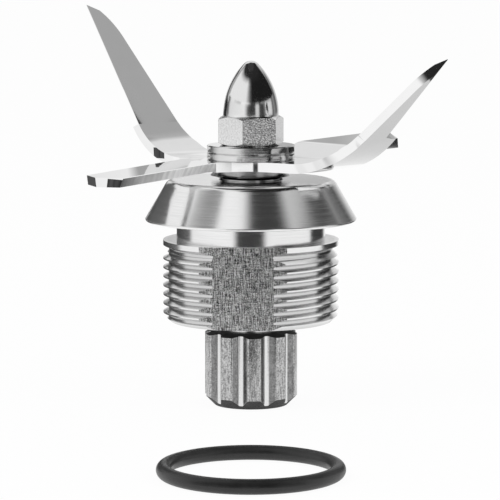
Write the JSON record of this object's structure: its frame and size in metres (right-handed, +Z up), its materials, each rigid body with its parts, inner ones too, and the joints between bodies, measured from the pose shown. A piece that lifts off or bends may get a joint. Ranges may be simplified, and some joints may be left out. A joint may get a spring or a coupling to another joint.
{
  "type": "blender blade assembly",
  "caption": "Four-winged bent blade on a bearing-mounted spindle in a threaded cone-flanged housing, with a splined drive gear and a loose sealing ring.",
  "frame": {"origin": "on the spindle's axis at the bottom face of the drive gear", "axes": "+Z up along the spindle towards the cap nut; the viewer of the picture stands on the -Y side"},
  "size_m": [0.0794, 0.1239, 0.0883],
  "materials": {
    "polished_steel": "polished stainless steel",
    "blade_steel": "bright polished stainless steel",
    "turned_steel": "fine turned stainless steel",
    "bearing_steel": "ground bearing steel",
    "sintered_steel": "satin sintered steel with a fine grain",
    "cage_brass": "machined brass",
    "seal_rubber": "smooth black rubber",
    "ring_rubber": "satin black rubber"
  },
  "bodies": {
    "housing": {"bearing_housing": "turned_steel", "seal_case": "bearing_steel", "seal_lip": "seal_rubber", "garter_spring": "bearing_steel", "outer_spacer": "bearing_steel", "retaining_ring": "bearing_steel", "o_ring": "ring_rubber", "upper_bearing_outer_ring": "bearing_steel", "upper_bearing_shields": "bearing_steel", "lower_bearing_outer_ring": "bearing_steel", "lower_bearing_shields": "bearing_steel"},
    "rotor": {"cap_nut": "polished_steel", "upper_washer": "polished_steel", "lower_washer": "polished_steel", "blade": "blade_steel", "blade_collar": "polished_steel", "spindle": "polished_steel", "inner_spacer": "bearing_steel", "gear_spacer": "bearing_steel", "drive_gear": "sintered_steel", "upper_bearing_inner_ring": "bearing_steel", "lower_bearing_inner_ring": "bearing_steel"},
    "upper_cage": {"upper_bearing_balls": "bearing_steel", "upper_bearing_cage": "cage_brass"},
    "lower_cage": {"lower_bearing_balls": "bearing_steel", "lower_bearing_cage": "cage_brass"}
  },
  "joints": [
    {"name": "blade_spin", "type": "hinge", "parent": "housing", "child": "rotor", "pos_m": [0, 0, 0.03], "axis": [0, 0, 1], "continuous": true},
    {"name": "upper_cage_orbit", "type": "hinge", "parent": "housing", "child": "upper_cage", "pos_m": [0, 0, 0.0403], "axis": [0, 0, 1], "continuous": true},
    {"name": "lower_cage_orbit", "type": "hinge", "parent": "housing", "child": "lower_cage", "pos_m": [0, 0, 0.0251], "axis": [0, 0, 1], "continuous": true}
  ],
  "couplings": [
    {"joint": "upper_cage_orbit", "follows": "blade_spin", "ratio": 0.3677},
    {"joint": "lower_cage_orbit", "follows": "blade_spin", "ratio": 0.3677}
  ]
}
